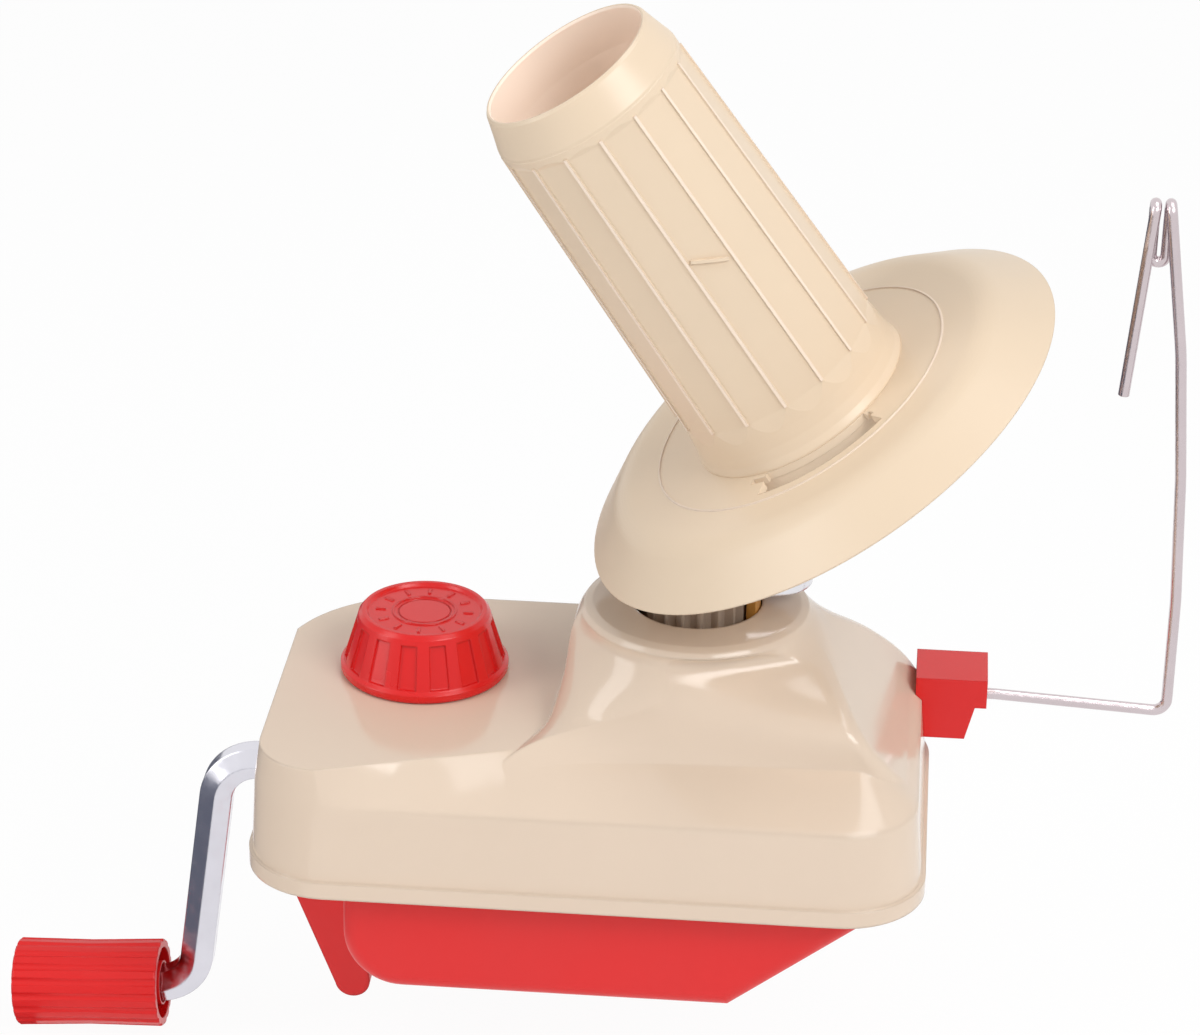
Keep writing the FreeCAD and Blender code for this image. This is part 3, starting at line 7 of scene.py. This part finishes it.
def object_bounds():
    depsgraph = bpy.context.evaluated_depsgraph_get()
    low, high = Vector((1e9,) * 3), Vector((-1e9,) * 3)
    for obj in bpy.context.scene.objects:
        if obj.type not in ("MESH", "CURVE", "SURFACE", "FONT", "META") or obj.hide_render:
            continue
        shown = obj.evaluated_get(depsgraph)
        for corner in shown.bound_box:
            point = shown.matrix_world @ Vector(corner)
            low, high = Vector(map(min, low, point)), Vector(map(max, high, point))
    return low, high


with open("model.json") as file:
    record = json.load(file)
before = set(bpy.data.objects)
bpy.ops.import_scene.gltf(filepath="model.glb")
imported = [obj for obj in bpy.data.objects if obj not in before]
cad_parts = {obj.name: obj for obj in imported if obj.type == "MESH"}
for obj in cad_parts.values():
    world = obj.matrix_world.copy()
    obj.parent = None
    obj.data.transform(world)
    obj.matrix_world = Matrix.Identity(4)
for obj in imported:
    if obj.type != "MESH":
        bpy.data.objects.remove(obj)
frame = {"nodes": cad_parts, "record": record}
cad_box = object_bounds()
MM = 0.001

# ---- colours, linear ---------------------------------------------------------------------
CREAM = (0.74, 0.60, 0.475, 1)
CREAM_WARM = (0.765, 0.615, 0.455, 1)
# painted highlight colour of the cone's ribs and the disc's ring line
PAINTED_HIGHLIGHT = (0.93, 0.78, 0.66, 1)
# painted light: pale colour and glow of the inside of the cone
PAINTED_INSIDE_LIGHT = (0.95, 0.80, 0.68, 1)
RED = (0.72, 0.008, 0.008, 1)
RED_DEEP = (0.74, 0.018, 0.018, 1)
AMBER = (0.62, 0.29, 0.06, 1)
GEAR = (0.52, 0.40, 0.31, 1)
STEEL = (0.60, 0.59, 0.60, 1)
CHROME = (0.78, 0.77, 0.80, 1)
ROD = (0.72, 0.71, 0.77, 1)
WIRE = (0.64, 0.56, 0.58, 1)
BRASS = (0.72, 0.52, 0.24, 1)
BRONZE = (0.50, 0.34, 0.18, 1)
RUBBER = (0.03, 0.03, 0.03, 1)
WHITE = (1, 1, 1, 1)
FLOOR = (0.98, 0.98, 0.98, 1)
CARD = (0.10, 0.11, 0.15, 1)

# ---- values shared by the materials; a noise scale is its number of cells per metre -------------
CLOUD_SCALE = 38.0
CLOUD_DETAIL = 3.0
STAIN_SCALE = 90.0
STAIN_DETAIL = 5.0
SCRATCH_DETAIL = 6.0
NOISE_SPAN = (0.35, 0.65)    # most of a noise texture's values lie between these
GLOSS_SWING = 0.15       # share by which the roughness of plastic varies from place to place
METAL_SWING = (0.7, 1.5)     # the roughness of metal varies between these multiples
RELIEF = 0.25            # strength of the fine skin relief
BEVEL_SAMPLES = 6
PLASTIC_IOR = 1.46

WALL_TOP_Z = 51.0 * MM   # top of the housing's upright wall
WALL_TOP_SOFT = 3.2 * MM
EDGE_SOFT = 1.0 * MM
WALL_TOP_BAND = (1.0 * MM, 5.0 * MM)     # fully soft within the first, sharp beyond the second

# ---- painted highlights and glow of the cone and the disc, in the cone's own axes ---------------
RIBS = 16
FIRST_RIB = math.radians(265.0)
RIB_HALF = 0.45 * MM
RIB_CORE = 0.6           # share of the rib's half width that gets the full painted highlight
RIB_LOW, RIB_HIGH = -28.5 * MM, 48.8 * MM
RIB_STRENGTH = 0.75
COUNT_SHIFT = 100.5      # whole turns keep the count positive, the half puts a rib at mid span
CONE_R = 24.5 * MM
STEP_Z = 49.0 * MM       # the short taper starts here
STEP_MID_R = 22.4 * MM   # radius of the middle of the wall at the step
BODY_SLOPE = 0.0322      # loss of that radius per height, below the step
TAPER_SLOPE = 0.212      # and above it
PAINTED_INSIDE_GLOW = 0.055      # painted glow inside the cone, in place of light through its thin wall
RING_R = 38.2 * MM
RING_LINE = (0.2 * MM, 0.5 * MM)     # half widths of the painted highlight: at full strength, and where it has faded out
RING_STRENGTH = 0.6


# ---- node helpers --------------------------------------------------------------------------
def new_material(name):
    mat = bpy.data.materials.new(name)
    mat.use_nodes = True
    tree = mat.node_tree
    return mat, tree, tree.nodes["Principled BSDF"]


def math_node(tree, kind, a, b=None):
    """One sum; each side is a float or the output of another node."""
    node = tree.nodes.new("ShaderNodeMath")
    node.operation = kind
    for slot, value in ((0, a), (1, b)):
        if value is None:
            continue
        if isinstance(value, float):
            node.inputs[slot].default_value = value
        else:
            tree.links.new(value, node.inputs[slot])
    return node.outputs["Value"]


def distance(tree, value, centre):
    return math_node(tree, "ABSOLUTE", math_node(tree, "SUBTRACT", value, centre))


def ramp(tree, source, low, high, start, end):
    """From low to high as the source goes from start to end."""
    node = tree.nodes.new("ShaderNodeMapRange")
    tree.links.new(source, node.inputs["Value"])
    node.inputs["From Min"].default_value = start
    node.inputs["From Max"].default_value = end
    node.inputs["To Min"].default_value = low
    node.inputs["To Max"].default_value = high
    return node.outputs["Result"]


def mix_colour(tree, factor, a, b):
    """Mix of two colours; each is four numbers or the output of another node."""
    mix = tree.nodes.new("ShaderNodeMix")
    mix.data_type = "RGBA"
    tree.links.new(factor, mix.inputs["Factor"])
    for socket, value in (("A", a), ("B", b)):
        if isinstance(value, (tuple, list)):
            mix.inputs[socket].default_value = value
        else:
            tree.links.new(value, mix.inputs[socket])
    return mix.outputs["Result"]


def split_axes(tree, source):
    split = tree.nodes.new("ShaderNodeSeparateXYZ")
    tree.links.new(source, split.inputs["Vector"])
    return [split.outputs[axis] for axis in "XYZ"]


def own_place(tree):
    """Place in the object's own axes, in metres."""
    return tree.nodes.new("ShaderNodeTexCoord").outputs["Object"]


def noise(tree, scale, detail):
    node = tree.nodes.new("ShaderNodeTexNoise")
    tree.links.new(own_place(tree), node.inputs["Vector"])
    node.inputs["Scale"].default_value = scale
    node.inputs["Detail"].default_value = detail
    return node.outputs["Fac"]


# ---- materials ---------------------------------------------------------------------------
def tones(colour, change):
    """A slightly darker and a slightly lighter tone of one colour."""
    dark = [c * (1 - change) for c in colour[:3]] + [1]
    light = [min(1.0, c * (1 + change)) for c in colour[:3]] + [1]
    return dark, light


def soft_wall_top(tree):
    """Edge radius of the housing: wide along the top of its upright wall, small elsewhere."""
    height = split_axes(tree, own_place(tree))[2]
    return ramp(tree, distance(tree, height, WALL_TOP_Z), WALL_TOP_SOFT, EDGE_SOFT, *WALL_TOP_BAND)


def surface(tree, shader, source, depth, edge):
    """Fine skin relief over normals that are rounded off at the edges."""
    soft = tree.nodes.new("ShaderNodeBevel")
    soft.samples = BEVEL_SAMPLES
    if callable(edge):
        tree.links.new(edge(tree), soft.inputs["Radius"])
    else:
        soft.inputs["Radius"].default_value = edge
    node = tree.nodes.new("ShaderNodeBump")
    node.inputs["Strength"].default_value = RELIEF
    node.inputs["Distance"].default_value = depth
    tree.links.new(soft.outputs["Normal"], node.inputs["Normal"])
    tree.links.new(source, node.inputs["Height"])
    tree.links.new(node.outputs["Normal"], shader.inputs["Normal"])


def plastic(name, colour, rough, edge, change=0.02, grain=2600.0, depth=0.01 * MM, painted_light=None):
    """Moulded plastic: cloudy tone, uneven gloss, a fine skin and softened edges."""
    mat, tree, shader = new_material(name)
    cloud = noise(tree, CLOUD_SCALE, CLOUD_DETAIL)
    fine = noise(tree, grain, CLOUD_DETAIL)
    tone = mix_colour(tree, cloud, *tones(colour, change))
    # painted highlight or glow, where one is given
    if painted_light:
        tone = painted_light(tree, tone)
    tree.links.new(tone, shader.inputs["Base Color"])
    gloss = ramp(tree, cloud, rough * (1 - GLOSS_SWING), rough * (1 + GLOSS_SWING), *NOISE_SPAN)
    tree.links.new(gloss, shader.inputs["Roughness"])
    surface(tree, shader, fine, depth, edge)
    shader.inputs["IOR"].default_value = PLASTIC_IOR
    return mat


def metal(name, colour, rough, edge=0.3 * MM, grain=420.0, change=0.06, depth=0.012 * MM):
    """Metal with faint scratches, stains and softened edges."""
    mat, tree, shader = new_material(name)
    shader.inputs["Metallic"].default_value = 1.0
    stain = noise(tree, STAIN_SCALE, STAIN_DETAIL)
    fine = noise(tree, grain, SCRATCH_DETAIL)
    tree.links.new(mix_colour(tree, stain, *tones(colour, change)), shader.inputs["Base Color"])
    gloss = ramp(tree, fine, rough * METAL_SWING[0], rough * METAL_SWING[1], *NOISE_SPAN)
    tree.links.new(gloss, shader.inputs["Roughness"])
    surface(tree, shader, fine, depth, edge)
    return mat


# ---- painted highlights and glow of the cone and the disc ---------------------------------------
def cone_frame():
    """The cone's own axes, from the joint it turns on: place and turn of its frame."""
    joints = {joint["name"]: joint for joint in frame["record"]["behaviour"]["joints"]}
    spin = joints["cone_spin"]
    axis = Vector(spin["axis"]).normalized()
    lean = math.acos(axis.z)
    turn = math.atan2(-axis.y, -axis.x)
    matrix = Matrix.Rotation(turn, 3, "Z") @ Matrix.Rotation(-lean, 3, "Y")
    return spin["pos_m"], matrix.to_euler()


def head_axes(tree):
    """Place in the cone's own axes, and the distance from its axis."""
    place, turn = cone_frame()
    own = tree.nodes.new("ShaderNodeMapping")
    own.vector_type = "TEXTURE"
    own.inputs["Location"].default_value = place
    own.inputs["Rotation"].default_value = turn
    tree.links.new(own_place(tree), own.inputs["Vector"])
    x, y, z = split_axes(tree, own.outputs["Vector"])
    square = math_node(tree, "ADD", math_node(tree, "MULTIPLY", x, x), math_node(tree, "MULTIPLY", y, y))
    return x, y, z, math_node(tree, "SQRT", square)


def mid_wall(tree, z):
    """Radius of the middle of the cone's wall: a long cone and the short taper above the step."""
    up = math_node(tree, "SUBTRACT", z, STEP_Z)
    body, taper = (math_node(tree, "SUBTRACT", STEP_MID_R, math_node(tree, "MULTIPLY", up, slope))
                   for slope in (BODY_SLOPE, TAPER_SLOPE))
    return math_node(tree, "MINIMUM", body, taper)


def rib_highlight_mask(tree, x, y, z):
    """Painted highlight mask: 1 along the middle of each raised rib, 0 between the ribs."""
    angle = math_node(tree, "ARCTAN2", y, x)
    count = math_node(tree, "MULTIPLY", math_node(tree, "SUBTRACT", angle, FIRST_RIB), RIBS / math.tau)
    part = math_node(tree, "FRACT", math_node(tree, "ADD", count, COUNT_SHIFT))
    half_width = RIB_HALF / (CONE_R * math.tau / RIBS)
    on_rib = ramp(tree, distance(tree, part, 0.5), 1.0, 0.0, half_width * RIB_CORE, half_width)
    above = math_node(tree, "GREATER_THAN", z, RIB_LOW)
    below = math_node(tree, "LESS_THAN", z, RIB_HIGH)
    return math_node(tree, "MULTIPLY", math_node(tree, "MULTIPLY", on_rib, above), below)


def paint_cone_light(tree, tone):
    """Painted highlight along the ribs, and painted pale colour and glow inside the cone, in place of
    light through its wall.
    """
    x, y, z, radius = head_axes(tree)
    outside = math_node(tree, "GREATER_THAN", radius, mid_wall(tree, z))
    # painted highlight along the ribs
    ribs = math_node(tree, "MULTIPLY", rib_highlight_mask(tree, x, y, z), RIB_STRENGTH)
    shader = tree.nodes["Principled BSDF"]
    # painted glow: the inside of the cone emits light, though it is no lamp
    shader.inputs["Emission Color"].default_value = PAINTED_INSIDE_LIGHT
    glow = ramp(tree, outside, PAINTED_INSIDE_GLOW, 0.0, 0.0, 1.0)
    tree.links.new(glow, shader.inputs["Emission Strength"])
    # painted pale colour inside the cone, and the painted rib highlight outside
    return mix_colour(tree, outside, PAINTED_INSIDE_LIGHT, mix_colour(tree, ribs, tone, PAINTED_HIGHLIGHT))


def paint_ring_highlight(tree, tone):
    """Painted highlight along the fine ring line of the disc."""
    radius = head_axes(tree)[3]
    # painted highlight on the raised ring line, in place of its shading
    line = ramp(tree, distance(tree, radius, RING_R), RING_STRENGTH, 0.0, *RING_LINE)
    return mix_colour(tree, line, tone, PAINTED_HIGHLIGHT)


cream = plastic("cream_gloss", CREAM, 0.12, soft_wall_top)
cream_disc = plastic("cream_disc", CREAM_WARM, 0.34, 0.4 * MM, painted_light=paint_ring_highlight)
cream_cone = plastic("cream_cone", CREAM_WARM, 0.34, 0.25 * MM, painted_light=paint_cone_light)
red = plastic("red_gloss", RED, 0.24, 0.5 * MM, change=0.03)
red_tray = plastic("red_tray", RED_DEEP, 0.42, 1.5 * MM, change=0.03)
red_grip = plastic("red_grip", RED, 0.32, 0.4 * MM, change=0.03)
amber = plastic("nylon_amber", AMBER, 0.4, 0.3 * MM, change=0.05)
gear = plastic("gear_plastic", GEAR, 0.45, 0.2 * MM, change=0.08)
rubber = plastic("rubber", RUBBER, 0.75, 0.2 * MM, change=0.2, grain=1500.0, depth=0.06 * MM)
chrome = metal("chrome", CHROME, 0.14, 0.8 * MM)
rod = metal("rod", ROD, 0.16, 0.7 * MM)
wire = metal("wire", WIRE, 0.2)
steel = metal("steel", STEEL, 0.30)
brass = metal("brass", BRASS, 0.28)
bronze = metal("bronze", BRONZE, 0.4)

LOOKS = {
    "upper_housing": cream, "base_tray": red_tray, "base_screws": steel, "spindle_post": steel,
    "sun_gear": gear, "thrust_washer": steel, "carrier": amber, "arm_plate": chrome,
    "arm_rivets": steel, "axle_pin": steel, "axle_clip": steel, "axle_washer": steel,
    "spacer_washer": amber, "winding_cone": cream_cone, "cone_bush": bronze,
    "winding_disc": cream_disc, "ring_gear": gear, "crank_rod": rod, "crown_gear": amber,
    "gear_pin": steel, "crank_bush": bronze, "shaft_clip": steel, "shaft_washer": steel,
    "shaft_bracket": steel, "bracket_bush": bronze, "bracket_screws": steel,
    "crank_grip": red_grip, "grip_clip": steel, "clamp_knob": red, "knob_insert": brass,
    "knob_clip": steel, "clamp_jaw": red_tray, "clamp_bolt": steel, "jaw_pad": rubber,
    "guide_block": red, "guide_wire": wire,
}
for node, thing in frame["nodes"].items():
    thing.data.materials.clear()
    thing.data.materials.append(LOOKS[node])


# ---- camera: place in metres, and its right, up and backward directions --------------------------
CAMERA_PLACE = Vector((0.068016, -0.858, 0.506787))
CAMERA_RIGHT = Vector((0.99619, 0.08605, 0.01431))
CAMERA_UP = Vector((-0.04924, 0.41931, 0.90651))
CAMERA_BACK = Vector((0.07200, -0.90376, 0.42195))
SENSOR_MM = 36.0
LENS_MM = 121.27
FAR_CLIP = 20.0


def look():
    data = bpy.data.cameras.new("camera")
    data.sensor_width = SENSOR_MM
    data.lens = LENS_MM
    data.clip_end = FAR_CLIP
    camera = bpy.data.objects.new("camera", data)
    turn = Matrix((CAMERA_RIGHT, CAMERA_UP, CAMERA_BACK)).transposed().to_4x4()
    camera.matrix_world = Matrix.Translation(CAMERA_PLACE) @ turn
    bpy.context.scene.collection.objects.link(camera)
    bpy.context.scene.camera = camera


# ---- floor, world, lamps --------------------------------------------------------------------
FLOOR_GAP = 0.4 * MM     # below the lowest point of the grip
FLOOR_SPAN = (-4.0, 4.0)
FLOOR_LIT = 0.05         # share of the floor's seen colour that comes from the lamps
MATT = 0.9
ROOM_LIGHT = 0.42
CARD_X = (-1.2, -0.14)
CARD_Y = (-0.6, 1.2)
LAMPS = {                # place, target, size across and up, power in watts
    "right": ((0.68, -0.72, 0.86), (0, 0, 0.08), (0.7, 0.45), 7.1),
    "left": ((-0.95, -0.45, 0.55), (0, 0, 0.06), (0.4, 1.0), 4.2),
    "top": ((0.35, -0.05, 1.1), (0, 0, 0.1), (0.6, 0.6), 3.0),
}


def seen_rays(tree):
    """1 for rays from the camera, in mirrors and through clear things."""
    rays = tree.nodes.new("ShaderNodeLightPath").outputs
    seen = math_node(tree, "MAXIMUM", rays["Is Camera Ray"], rays["Is Glossy Ray"])
    return math_node(tree, "MAXIMUM", seen, rays["Is Transmission Ray"])


def make_world():
    """White where it is seen, and a dimmer room light for everything else."""
    world = bpy.data.worlds.new("studio")
    bpy.context.scene.world = world
    world.use_nodes = True
    tree = world.node_tree
    room = tree.nodes["Background"]
    room.inputs["Color"].default_value = WHITE
    room.inputs["Strength"].default_value = ROOM_LIGHT
    white = tree.nodes.new("ShaderNodeBackground")
    white.inputs["Color"].default_value = WHITE
    white.inputs["Strength"].default_value = 1.0
    mix = tree.nodes.new("ShaderNodeMixShader")
    tree.links.new(seen_rays(tree), mix.inputs["Fac"])
    tree.links.new(room.outputs["Background"], mix.inputs[1])
    tree.links.new(white.outputs["Background"], mix.inputs[2])
    tree.links.new(mix.outputs["Shader"], tree.nodes["World Output"].inputs["Surface"])


def flat_sheet(name, x_span, y_span, level, mat):
    mesh = bpy.data.meshes.new(name)
    corners = [(x_span[i], y_span[j], level) for i, j in ((0, 0), (1, 0), (1, 1), (0, 1))]
    mesh.from_pydata(corners, [], [(0, 1, 2, 3)])
    mesh.materials.append(mat)
    sheet = bpy.data.objects.new(name, mesh)
    bpy.context.scene.collection.objects.link(sheet)
    return sheet


def make_floor():
    """Plain pale floor: mostly white by itself where it is seen, so its shadow stays faint."""
    mat, tree, shader = new_material("floor")
    shader.inputs["Base Color"].default_value = FLOOR
    shader.inputs["Roughness"].default_value = MATT
    glow = tree.nodes.new("ShaderNodeEmission")
    glow.inputs["Color"].default_value = WHITE
    mix = tree.nodes.new("ShaderNodeMixShader")
    share = math_node(tree, "MULTIPLY", seen_rays(tree), 1.0 - FLOOR_LIT)
    tree.links.new(share, mix.inputs["Fac"])
    tree.links.new(shader.outputs["BSDF"], mix.inputs[1])
    tree.links.new(glow.outputs["Emission"], mix.inputs[2])
    tree.links.new(mix.outputs["Shader"], tree.nodes["Material Output"].inputs["Surface"])
    flat_sheet("floor", FLOOR_SPAN, FLOOR_SPAN, cad_box[0][2] - FLOOR_GAP, mat)


def make_dark_card():
    """Dark sheet on the floor that only mirrors see, so that bright metal has dark sides."""
    mat, _, shader = new_material("dark_card")
    shader.inputs["Base Color"].default_value = CARD
    shader.inputs["Roughness"].default_value = MATT
    card = flat_sheet("dark_card", CARD_X, CARD_Y, cad_box[0][2] - FLOOR_GAP / 2, mat)
    card.visible_camera = False
    card.visible_diffuse = False
    card.visible_shadow = False
    card.visible_transmission = False


def lamp(name, spot, target, size, power):
    data = bpy.data.lights.new(name, "AREA")
    data.shape = "RECTANGLE"
    data.size, data.size_y = size
    data.energy = power
    thing = bpy.data.objects.new(name, data)
    thing.location = spot
    thing.rotation_euler = (Vector(target) - Vector(spot)).to_track_quat("-Z", "Y").to_euler()
    bpy.context.scene.collection.objects.link(thing)


look()
make_world()
make_floor()
make_dark_card()
for name, values in LAMPS.items():
    lamp(name, *values)

bpy.context.scene.view_settings.view_transform = "Standard"
